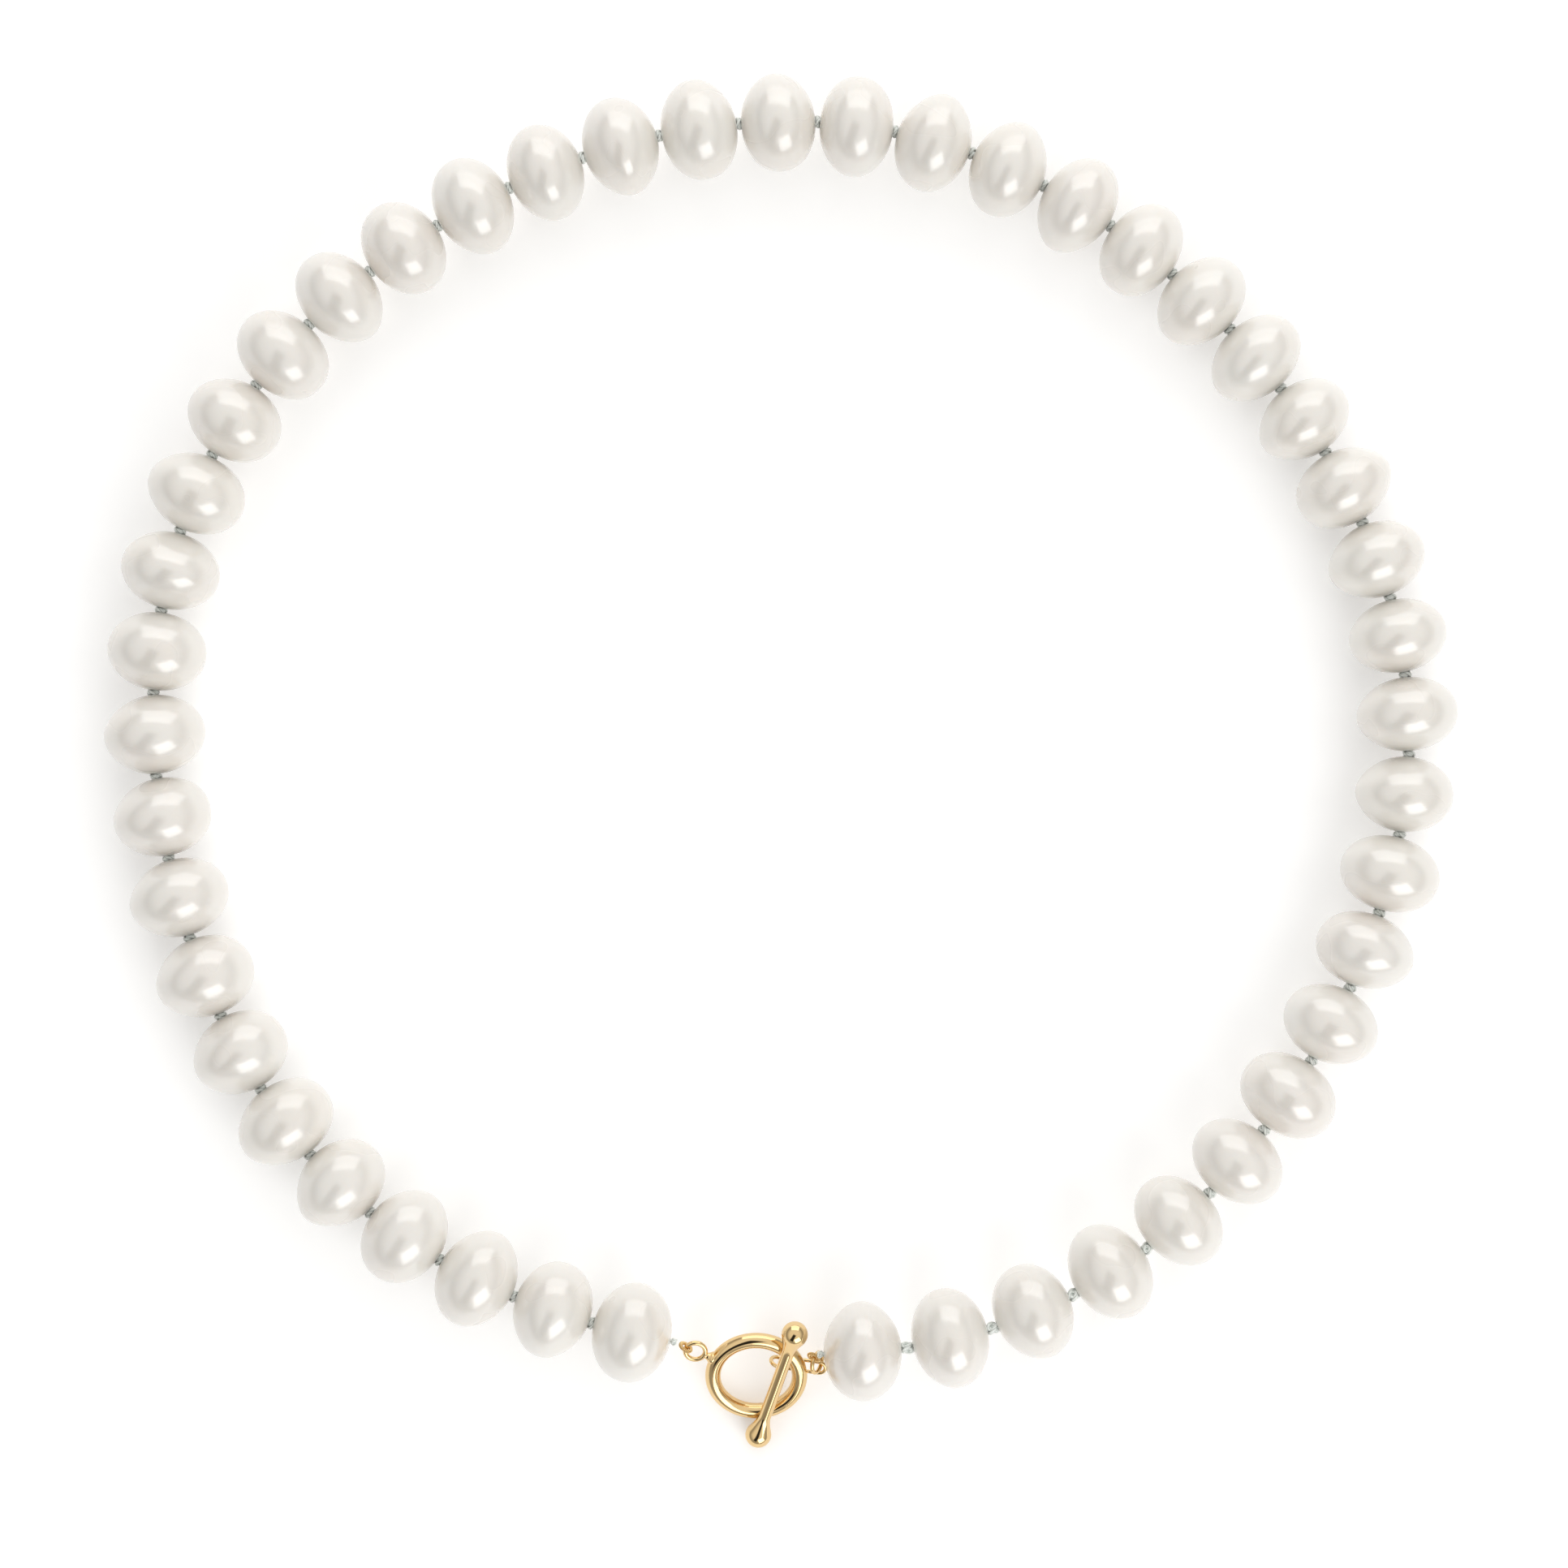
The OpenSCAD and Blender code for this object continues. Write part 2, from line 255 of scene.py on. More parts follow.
def makeSilk():
    look = silkLook
    material, tree, shader, where = startMaterial("silkTwist")
    stains = spread(tree, noise(tree, where, look["stains"], 1.0), 0.35, 0.65)
    fibres = noise(tree, where, look["fibres"], 2.0, 0.6)
    creaseShadeMask = put(tree, "ShaderNodeAttribute", attribute_name="creaseShadeMask", out="Fac")
    thread = blendColours(tree, calc(tree, "MULTIPLY", stains, 0.55), look["light"], look["shade"])
    # painted shade: the ply creases, plus a random fibre tone, darken the thread towards the crease shade colour
    dark = spread(tree, calc(tree, "ADD", creaseShadeMask, calc(tree, "MULTIPLY", fibres, 0.5)), 0.85, 1.45)
    plug(tree, shader["Base Color"], blendColours(tree, dark, thread, look["paintedCreaseShade"]))
    shader["Roughness"].default_value = 0.5
    shader["Sheen Weight"].default_value = 0.4
    shader["Sheen Roughness"].default_value = 0.4
    bumps(tree, shader, fibres, look["fuzz"], look["fuzzDepth"])
    return material


goldLook = {"handling": 700.0, "patches": 220.0, "wear": 0.03 * mm}


def makeGold(name, colour, deep, roughness, wobble):
    look = goldLook
    material, tree, shader, where = startMaterial(name)
    handling = noise(tree, where, look["handling"], 4.0, 0.6)
    patches = spread(tree, noise(tree, where, look["patches"], 2.0), 0.35, 0.7)
    plug(tree, shader["Base Color"], blendColours(tree, calc(tree, "MULTIPLY", patches, 0.5), colour, deep))
    plug(tree, shader["Roughness"], spread(tree, handling, 0.3, 0.8, *roughness))
    shader["Metallic"].default_value = 1.0
    bumps(tree, shader, handling, wobble, look["wear"])
    return material


nacre = makeNacre()
silkTwist = makeSilk()
polishedGold = makeGold("polishedGold", (0.80, 0.58, 0.30, 1), (0.74, 0.52, 0.24, 1), (0.05, 0.12), 0.05)
coilGold = makeGold("coilGold", (0.82, 0.60, 0.30, 1), (0.72, 0.50, 0.22, 1), (0.12, 0.25), 0.1)
print("materials made")

# where the pearls and knots are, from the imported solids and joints

pearlCount = sum(name.startswith("pearl_") for name in frame["nodes"])
jointAt = {j["name"]: Vector(j["pos_m"]) for j in frame["joints"]}
jointAxis = {j["name"]: Vector(j["axis"]).normalized() for j in frame["joints"]}


def pearlName(k):
    return f"pearl_{k:02d}"


def middleOf(node):
    low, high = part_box(node)
    return (low + high) / 2


knotAt = {}
for joint in frame["joints"]:
    pair = sorted((joint["parent"], joint["child"]))
    if all(body.startswith("pearl_") for body in pair):
        knotAt[int(pair[0][-2:])] = Vector(joint["pos_m"])

endKnotGap = 0.45 * mm  # from an end pearl's face to its end knot's middle
strand = []
for k in range(1, pearlCount + 1):
    middle = middleOf(pearlName(k))
    if k == 1:
        along = (knotAt[1] - middle).normalized()
    elif k == pearlCount:
        along = (middle - knotAt[k - 1]).normalized()
    else:
        along = (knotAt[k] - knotAt[k - 1]).normalized()
    reaches = [(v.co - middle).dot(along) for v in frame["nodes"][pearlName(k)].data.vertices]
    low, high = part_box(pearlName(k))
    strand.append({"middle": middle, "along": along, "half": max(reaches), "radius": (high.z - low.z) / 2})
first, last = strand[0], strand[-1]
knotAt[0] = first["middle"] - first["along"] * (first["half"] + endKnotGap)
knotAt[pearlCount] = last["middle"] + last["along"] * (last["half"] + endKnotGap)
print("strand read:", len(strand), "pearls")

# pearls: button shaped, drilled, each a little different

pearlLook = {
    "around": 72, "rows": 50,
    "holeRadius": 0.5 * mm, "rimRadius": 0.66 * mm, "rimDepth": 0.3 * mm,
    "squareness": (2.0, 2.14),  # 2 is an ellipse
    "narrowing": (0.02, 0.24),  # how much thinner one side is, as on an egg
    "dentScale": 1.1, "ringCount": 22.0, "ringDrift": 9.0,
    "lean": 0.04, "dents": (0.004, 0.018), "ridges": (0.0, 0.0003),
    "thinSideStray": 0.55,  # radians between the thin side and the strand's plane, give or take
    "seed": 46,
}


def makePearlTree():
    look = pearlLook
    tree, given = startTree("buttonPearl", {
        "Middle": Vector(), "Along": Vector((0, 0, 1)), "Outwards": Vector((1, 0, 0)), "Upwards": Vector((0, 1, 0)),
        "Half Length": 0.0045, "Radius": 0.0058, "Power": 1.0, "Rim Turn": 0.1, "Hole Radius": 0.0005,
        "Hole Face": 0.004, "Narrowing": 0.1, "Lean": 0.0, "Dents": 0.01, "Ridges": 0.001, "Seed": 1.0,
        "Material": nacre})
    outer, lastRow = look["rows"], look["rows"] + 3
    grid = put(tree, "GeometryNodeMeshGrid", {"Size X": 1.0, "Size Y": 1.0, "Vertices X": look["around"] + 1,
               "Vertices Y": lastRow + 1}, "Mesh")
    spot = put(tree, "ShaderNodeSeparateXYZ", {"Vector": put(tree, "GeometryNodeInputPosition", out="Position")})
    turn = calc(tree, "MULTIPLY", calc(tree, "ADD", spot.outputs["X"], 0.5), 2 * math.pi)
    row = calc(tree, "MULTIPLY", calc(tree, "ADD", spot.outputs["Y"], 0.5), float(lastRow))
    lowHole = calc(tree, "COMPARE", row, outer + 1.0, 0.2)
    highHole = calc(tree, "COMPARE", row, outer + 2.0, 0.2)
    back = calc(tree, "COMPARE", row, outer + 3.0, 0.2)
    inHole = calc(tree, "ADD", lowHole, highHole)
    share = calc(tree, "DIVIDE", calc(tree, "MINIMUM", row, float(outer)), float(outer))
    share = calc(tree, "MULTIPLY", share, calc(tree, "SUBTRACT", 1.0, back))
    eased = put(tree, "ShaderNodeMapRange", {"Value": share}, "Result", interpolation_type="SMOOTHSTEP")
    span = calc(tree, "SUBTRACT", math.pi, calc(tree, "MULTIPLY", given["Rim Turn"], 2.0))
    tilt = calc(tree, "ADD", given["Rim Turn"], calc(tree, "MULTIPLY", eased, span))
    sine, cosine = calc(tree, "SINE", tilt), calc(tree, "COSINE", tilt)
    wide = calc(tree, "POWER", sine, given["Power"])
    deep = calc(tree, "MULTIPLY", calc(tree, "POWER", calc(tree, "ABSOLUTE", cosine), given["Power"]),
                calc(tree, "SIGN", cosine))
    side, rise = calc(tree, "COSINE", turn), calc(tree, "SINE", turn)
    # one side thinner, like an egg
    offSide = calc(tree, "MAXIMUM", calc(tree, "MULTIPLY", calc(tree, "MULTIPLY", side, wide), -1.0), 0.0)
    thin = calc(tree, "MULTIPLY", given["Narrowing"], calc(tree, "MULTIPLY", offSide, offSide))
    deep = calc(tree, "MULTIPLY", deep, calc(tree, "SUBTRACT", 1.0, thin))
    # soft dents, none at the drill hole, and faint growth rings round the hole
    point = put(tree, "ShaderNodeCombineXYZ", {"X": calc(tree, "MULTIPLY", side, wide),
                "Y": calc(tree, "MULTIPLY", rise, wide), "Z": deep}, "Vector")
    lumps = put(tree, "ShaderNodeTexNoise", {"Vector": point, "W": given["Seed"], "Scale": look["dentScale"],
                "Detail": 1.0}, "Fac", noise_dimensions="4D")
    rings = put(tree, "ShaderNodeTexNoise", {"Vector": scaled(tree, point, 0.5), "W": given["Seed"], "Scale": 1.0,
                "Detail": 0.0}, "Fac", noise_dimensions="4D")
    ripple = calc(tree, "ADD", calc(tree, "MULTIPLY", tilt, look["ringCount"]),
                  calc(tree, "MULTIPLY", rings, look["ringDrift"]))
    wave = calc(tree, "SINE", ripple)
    dent = calc(tree, "MULTIPLY", calc(tree, "MULTIPLY", lumps, given["Dents"]), calc(tree, "MULTIPLY", sine, sine))
    ridge = calc(tree, "MULTIPLY", calc(tree, "MULTIPLY", calc(tree, "SUBTRACT", wave, 1.0), given["Ridges"]), sine)
    size = calc(tree, "ADD", calc(tree, "SUBTRACT", 1.0, dent), ridge)
    wide, deep = calc(tree, "MULTIPLY", wide, size), calc(tree, "MULTIPLY", deep, size)
    deep = calc(tree, "ADD", deep, calc(tree, "MULTIPLY", given["Lean"], calc(tree, "MULTIPLY", side, wide)))
    radius = calc(tree, "MULTIPLY", wide, given["Radius"])
    height = calc(tree, "MULTIPLY", deep, given["Half Length"])
    outside = calc(tree, "SUBTRACT", 1.0, inHole)
    radius = calc(tree, "ADD", calc(tree, "MULTIPLY", radius, outside),
                  calc(tree, "MULTIPLY", given["Hole Radius"], inHole))
    holeEnd = calc(tree, "MULTIPLY", given["Hole Face"], calc(tree, "SUBTRACT", highHole, lowHole))
    height = calc(tree, "ADD", calc(tree, "MULTIPLY", height, outside), holeEnd)
    spotAt = placed(tree, given["Middle"], (given["Outwards"], given["Upwards"], given["Along"]),
                    (calc(tree, "MULTIPLY", side, radius), calc(tree, "MULTIPLY", rise, radius), height))
    shell = put(tree, "GeometryNodeSetPosition", {"Geometry": grid, "Position": spotAt}, "Geometry")
    shell = put(tree, "GeometryNodeMergeByDistance", {"Geometry": shell, "Distance": 0.001 * mm}, "Geometry")
    endTree(tree, shell, given["Material"])
    return tree


pearlTree = makePearlTree()
for k, place in enumerate(strand, 1):
    look = pearlLook
    draw = random.Random(look["seed"] + k)
    power = 2 / draw.uniform(*look["squareness"])
    rimTurn = math.asin((look["rimRadius"] / place["radius"]) ** (1 / power))
    face = math.cos(rimTurn) ** power * place["half"]
    thinSide = draw.choice((0, math.pi)) + draw.gauss(0, look["thinSideStray"])
    outwards = place["along"].cross(up).normalized()
    mesh = growMesh(pearlTree, {
        "Middle": place["middle"], "Along": place["along"],
        "Outwards": outwards * math.cos(thinSide) + up * math.sin(thinSide),
        "Upwards": up * math.cos(thinSide) - outwards * math.sin(thinSide),
        "Half Length": place["half"], "Radius": place["radius"], "Power": power, "Rim Turn": rimTurn,
        "Hole Radius": look["holeRadius"], "Hole Face": face - look["rimDepth"],
        "Narrowing": draw.uniform(*look["narrowing"]), "Lean": draw.uniform(-1, 1) * look["lean"],
        "Dents": draw.uniform(*look["dents"]), "Ridges": draw.uniform(*look["ridges"]),
        "Seed": draw.uniform(0, 100)})
    pearl = addObject(f"nacrePearl_{k:02d}", mesh)
    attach(pearl, pearlName(k))
    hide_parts(pearlName(k))
print("pearls grown")

# silk: a plied thread through each pearl, and an overhand knot after it

silkPieceLook = {
    "threadRadius": 0.33 * mm, "pliesPerMm": 0.55, "threadSteps": 40,
    "knotRing": 0.41 * mm, "knotWave": 0.14 * mm, "knotStrand": 0.27 * mm, "knotSteps": 64,
    "endKnot": 0.62,  # how much smaller the two end knots are
    "knotReach": 0.13 * mm,  # how far a knot sinks into the rims beside it
    "lobes": 3, "sides": 12, "knotTwist": 6 * math.pi, "seed": 700,
}


def addPlies(tree, curve, radius, twist):
    # sweeps a lobed section along the curve while it twists, and marks its creases as a mask for painted shade in the
    # silk's colour
    look = silkPieceLook
    section = put(tree, "GeometryNodeCurvePrimitiveCircle", {"Resolution": look["sides"], "Radius": 1.0}, "Curve")
    number = put(tree, "GeometryNodeInputIndex", out="Index")
    lobe = calc(tree, "COSINE", calc(tree, "MULTIPLY", number, look["lobes"] * 2 * math.pi / look["sides"]))
    swell = calc(tree, "MULTIPLY", radius, calc(tree, "ADD", 0.88, calc(tree, "MULTIPLY", lobe, 0.12)))
    spot = put(tree, "GeometryNodeInputPosition", out="Position")
    section = put(tree, "GeometryNodeSetPosition", {"Geometry": section, "Position": scaled(tree, spot, swell)},
                  "Geometry")
    # this crease mask is used only to paint shade into the silk's colour
    section = put(tree, "GeometryNodeStoreNamedAttribute", {"Geometry": section, "Name": "creaseShadeMask",
                  "Value": calc(tree, "MULTIPLY_ADD", lobe, -0.5, 0.5)}, "Geometry", data_type="FLOAT",
                  domain="POINT")
    along = put(tree, "GeometryNodeSplineParameter", out="Factor")
    curve = put(tree, "GeometryNodeSetCurveTilt", {"Curve": curve, "Tilt": calc(tree, "MULTIPLY", along, twist)},
                "Curve")
    return put(tree, "GeometryNodeCurveToMesh", {"Curve": curve, "Profile Curve": section, "Fill Caps": True}, "Mesh")


def makeThreadTree():
    look = silkPieceLook
    tree, given = startTree("pliedThread", {"Start": Vector(), "End": Vector(), "Radius": 0.00033, "Twist": 30.0,
                                            "Material": silkTwist})
    line = put(tree, "GeometryNodeCurvePrimitiveLine", {"Start": given["Start"], "End": given["End"]}, "Curve")
    line = put(tree, "GeometryNodeResampleCurve", {"Curve": line, "Count": look["threadSteps"]}, "Curve",
               mode="COUNT")
    endTree(tree, addPlies(tree, line, given["Radius"], given["Twist"]), given["Material"])
    return tree


def makeKnotTree():
    look = silkPieceLook
    tree, given = startTree("overhandKnot", {
        "Middle": Vector(), "Along": Vector((0, 0, 1)), "Outwards": Vector((1, 0, 0)), "Upwards": Vector((0, 1, 0)),
        "Ring": 0.0003, "Wave": 0.0001, "Half Length": 0.0004, "Strand": 0.0002, "Start Turn": 0.0, "Twist": 20.0,
        "Material": silkTwist})
    loop = put(tree, "GeometryNodeCurvePrimitiveCircle", {"Resolution": look["knotSteps"], "Radius": 1.0}, "Curve")
    number = put(tree, "GeometryNodeInputIndex", out="Index")
    turn = calc(tree, "MULTIPLY", number, 2 * math.pi / look["knotSteps"])
    thrice = calc(tree, "MULTIPLY", turn, 3.0)
    twice = calc(tree, "ADD", calc(tree, "MULTIPLY", turn, 2.0), given["Start Turn"])
    radius = calc(tree, "ADD", given["Ring"], calc(tree, "MULTIPLY", given["Wave"], calc(tree, "COSINE", thrice)))
    steps = (calc(tree, "MULTIPLY", radius, calc(tree, "COSINE", twice)),
             calc(tree, "MULTIPLY", radius, calc(tree, "SINE", twice)),
             calc(tree, "MULTIPLY", given["Half Length"], calc(tree, "SINE", thrice)))
    spotAt = placed(tree, given["Middle"], (given["Outwards"], given["Upwards"], given["Along"]), steps)
    loop = put(tree, "GeometryNodeSetPosition", {"Geometry": loop, "Position": spotAt}, "Geometry")
    endTree(tree, addPlies(tree, loop, given["Strand"], given["Twist"]), given["Material"])
    return tree


threadTree, knotTree = makeThreadTree(), makeKnotTree()


def joinMeshes(meshes):
    work = bmesh.new()
    for mesh in meshes:
        work.from_mesh(mesh)
    joined = meshes[0]
    work.to_mesh(joined)
    work.free()
    return joined


def faceBefore(k):
    return strand[k - 1]["middle"] + strand[k - 1]["along"] * strand[k - 1]["half"]


def faceAfter(k):
    return strand[k]["middle"] - strand[k]["along"] * strand[k]["half"]


def growKnot(k):
    look = silkPieceLook
    draw = random.Random(look["seed"] + k)
    before = strand[k - 1]["along"] if k else strand[0]["along"]
    after = strand[k]["along"] if k < pearlCount else before
    along = (before + after).normalized()
    if 0 < k < pearlCount:
        gap = (faceAfter(k) - faceBefore(k)).length
    else:
        gap = 2 * endKnotGap
    outwards = along.cross(up).normalized()
    size = 1 if 0 < k < pearlCount else look["endKnot"]
    return growMesh(knotTree, {
        "Middle": knotAt[k], "Along": along, "Outwards": outwards, "Upwards": outwards.cross(along),
        "Ring": look["knotRing"] * size, "Wave": look["knotWave"] * size, "Strand": look["knotStrand"] * size,
        "Half Length": (gap / 2 + look["knotReach"]) * size - look["knotStrand"] * size,
        "Start Turn": draw.uniform(0, 2 * math.pi), "Twist": look["knotTwist"]})


for k in range(1, pearlCount + 1):
    look = silkPieceLook
    start, end = knotAt[k - 1], knotAt[k]
    twist = 2 * math.pi * round(look["pliesPerMm"] * (end - start).length / mm)
    parts = [growMesh(threadTree, {"Start": start, "End": end, "Radius": look["threadRadius"], "Twist": twist}),
             growKnot(k)]
    if k == 1:
        parts.append(growKnot(0))
    silk = addObject(f"silk_{k:02d}", joinMeshes(parts))
    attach(silk, pearlName(k))
    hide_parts("silk_thread", "silk_knots")
print("silk tied")

claspUp = jointAxis["ring_swing"]
if claspUp.z < 0:
    claspUp = -claspUp
claspAcross = Vector((1, 0, 0))
claspBack = claspUp.cross(claspAcross)


def claspWay(degrees):
    turn = math.radians(degrees)
    return claspAcross * math.cos(turn) + claspBack * math.sin(turn)


def circlePoints(middle, first, second, radius, count):
    return [middle + (first * math.cos(2 * math.pi * i / count) + second * math.sin(2 * math.pi * i / count)) * radius
            for i in range(count)]


def tube(points, flat, radii, closed, sides):
    # a round wire along points that lie in the plane whose normal is flat
    count = len(points)
    radii = radii if isinstance(radii, list) else [radii] * count
    work = bmesh.new()
    rings = []
    for i, point in enumerate(points):
        ahead = points[(i + 1) % count] if closed or i < count - 1 else point
        behind = points[i - 1] if closed or i else point
        side = (ahead - behind).normalized().cross(flat).normalized()
        rings.append([work.verts.new(point + (side * math.cos(2 * math.pi * s / sides)
                      + flat * math.sin(2 * math.pi * s / sides)) * radii[i]) for s in range(sides)])
    for i in range(count if closed else count - 1):
        here, there = rings[i], rings[(i + 1) % count]
        for s in range(sides):
            t = (s + 1) % sides
            work.faces.new((here[s], here[t], there[t], there[s]))
    if not closed:
        work.faces.new(rings[0])
        work.faces.new(rings[-1])
    mesh = bpy.data.meshes.new("tube")
    work.to_mesh(mesh)
    work.free()
    cleanMesh(mesh)
    return mesh


def fused(meshes, grain, rounds):
    # solders tubes into one skin with filleted joints
    host = addObject("solderHost", joinMeshes(meshes))
    remesh = host.modifiers.new("solder", "REMESH")
    remesh.mode, remesh.voxel_size, remesh.use_smooth_shade = "VOXEL", grain, True
    soften = host.modifiers.new("soften", "SMOOTH")
    soften.factor, soften.iterations = 0.5, rounds
    return evaluatedMesh(host)


def addMetal(name, mesh, body, nodes, material):
    mesh.materials.clear()
    mesh.materials.append(material)
    piece = addObject(name, mesh)
    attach(piece, body)
    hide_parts(*nodes)
    return piece


ringLook = {"radius": 5.08 * mm, "wire": 0.92 * mm, "steps": 192, "sides": 48}
ringMiddle = middleOf("toggle_ring")
ringMesh = tube(circlePoints(ringMiddle, claspAcross, claspBack, ringLook["radius"], ringLook["steps"]), claspUp,
                ringLook["wire"], True, ringLook["sides"])
addMetal("toggleRing", ringMesh, "clasp_ring", ["toggle_ring"], polishedGold)

eyeletLook = {
    "turn": 153.5, "reach": 7.95 * mm, "radius": 1.17 * mm, "wire": 0.3 * mm,
    # the soldered neck: how far out from the ring's middle, and how thick
    "neck": [(5.62, 0.80), (5.85, 0.80), (6.02, 0.70), (6.18, 0.54), (6.36, 0.44), (6.56, 0.40), (6.76, 0.42)],
    "grain": 0.045 * mm, "rounds": 6,
}
eyeletWay = claspWay(eyeletLook["turn"])
eyeletSide = claspUp.cross(eyeletWay)
eyeletMiddle = ringMiddle + eyeletWay * eyeletLook["reach"]
eyeletMesh = fused([
    tube(circlePoints(eyeletMiddle, eyeletWay, eyeletSide, eyeletLook["radius"], 64), claspUp,
         eyeletLook["wire"], True, 20),
    tube([ringMiddle + eyeletWay * reach * mm for reach, _ in eyeletLook["neck"]], claspUp,
         [thick * mm for _, thick in eyeletLook["neck"]], False, 24)], eyeletLook["grain"], eyeletLook["rounds"])
addMetal("ringEyelet", eyeletMesh, "clasp_ring", ["ring_eyelet"], polishedGold)

barLook = {
    "turn": 73.6, "length": 18.2 * mm, "radius": 0.74 * mm, "ball": 1.55 * mm, "neck": 2.1 * mm,
    "neckStart": 118, "neckWaist": 0.25, "ballSteps": 28, "neckSteps": 16, "shankSteps": 24, "sides": 48,
}


def barOutline():
    # (place along the bar, radius) from its lower tip to its upper one
    look = barLook
    halfLength, ball, neck = look["length"] / 2, look["ball"], look["neck"]
    begin = math.radians(look["neckStart"])
    beginRadius, beginAt = ball * math.sin(begin), halfLength - ball + ball * math.cos(begin)
    end = []
    for i in range(look["ballSteps"] + 1):
        turn = begin * i / look["ballSteps"]
        end.append((halfLength - ball + ball * math.cos(turn), ball * math.sin(turn)))
    for i in range(1, look["neckSteps"] + 1):
        t = i / look["neckSteps"]
        pull = (1 - t) ** 2 * (1 + 2 * t)
        sag = t * (1 - t) ** 2 * neck / math.tan(begin - math.pi / 2)
        end.append((beginAt - neck * t, look["radius"] + (beginRadius - look["radius"]) * pull
                    - sag * look["neckWaist"]))
    root = end[-1][0]
    shank = [(root - 2 * root * i / look["shankSteps"], look["radius"]) for i in range(1, look["shankSteps"])]
    return end + shank + [(-at, radius) for at, radius in reversed(end)]


barMiddle = middleOf("toggle_bar")
barWay = claspWay(barLook["turn"])
outline = barOutline()
barMesh = tube([barMiddle + barWay * at for at, _ in outline], claspUp, [radius for _, radius in outline], False,
               barLook["sides"])
addMetal("toggleBar", barMesh, "clasp_bar", ["toggle_bar", "bar_ball_upper", "bar_ball_lower"], polishedGold)

barEyeletLook = {
    "shift": 1.0 * mm, "depth": 3.15 * mm, "radius": 0.95 * mm, "wire": 0.25 * mm,
    "post": [(0.45, 0.55), (0.72, 0.50), (0.9, 0.40), (1.1, 0.34), (1.5, 0.32), (1.9, 0.32), (2.2, 0.34)],
    "grain": 0.045 * mm, "rounds": 5,
}
barSide = claspUp.cross(barWay)
barEyeletRoot = barMiddle + barWay * barEyeletLook["shift"]
barEyeletMesh = fused([
    tube(circlePoints(barEyeletRoot - claspUp * barEyeletLook["depth"], barSide, claspUp,
                      barEyeletLook["radius"], 56), barWay, barEyeletLook["wire"], True, 18),
    tube([barEyeletRoot - claspUp * drop * mm for drop, _ in barEyeletLook["post"]], barWay,
         [thick * mm for _, thick in barEyeletLook["post"]], False, 20)], barEyeletLook["grain"],
    barEyeletLook["rounds"])
addMetal("barEyelet", barEyeletMesh, "clasp_bar", ["bar_eyelet"], polishedGold)

linkLook = {"halfWidth": 0.78 * mm, "wire": 0.22 * mm, "bend": 24, "sides": 16, "runs": 8}
linkMiddle = middleOf("bar_link")
linkWay = (jointAt["link_swing"] - linkMiddle).normalized()
linkUp = (claspUp - linkWay * claspUp.dot(linkWay)).normalized()
linkSide = linkUp.cross(linkWay)
linkReach = max((v.co - linkMiddle).dot(linkWay) for v in frame["nodes"]["bar_link"].data.vertices)
linkStraight = 2 * (linkReach - linkLook["halfWidth"] - linkLook["wire"])
linkPoints = []
for side in (1, -1):
    for i in range(linkLook["bend"] + 1):
        turn = math.radians(180 * i / linkLook["bend"] - 90)
        step = (linkWay * math.cos(turn) + linkSide * math.sin(turn)) * linkLook["halfWidth"]
        linkPoints.append(linkMiddle + (linkWay * linkStraight / 2 + step) * side)
    for i in range(1, linkLook["runs"]):  # the straight run to the other bend
        run = linkWay * linkStraight * (0.5 - i / linkLook["runs"])
        linkPoints.append(linkMiddle + (run + linkSide * linkLook["halfWidth"]) * side)
linkMesh = tube(linkPoints, linkUp, linkLook["wire"], True, linkLook["sides"])
addMetal("barLink", linkMesh, "link", ["bar_link"], polishedGold)

endRingLook = {"radius": 1.22 * mm, "wire": 0.25 * mm, "steps": 72, "sides": 18}
endRingMiddle = middleOf("end_ring")
endRingWay = (endRingMiddle - jointAt["end_ring_swing"]).normalized()
rightGimpWay = (middleOf("gimp_right") - knotAt[pearlCount]).normalized()
endRingUp = endRingWay.cross(rightGimpWay.cross(endRingWay)).normalized()
endRingMesh = tube(circlePoints(endRingMiddle, endRingWay, endRingUp.cross(endRingWay).normalized(),
                   endRingLook["radius"], endRingLook["steps"]), endRingUp, endRingLook["wire"], True,
                   endRingLook["sides"])
addMetal("endRing", endRingMesh, "end_ring", ["end_ring"], polishedGold)
print("clasp made")

# gimp: fine gold coil round the silk where it holds the clasp

gimpLook = {"radius": 0.68 * mm, "coil": 0.185 * mm, "wire": 0.055 * mm, "turns": 34, "stepsPerTurn": 14, "sides": 6}


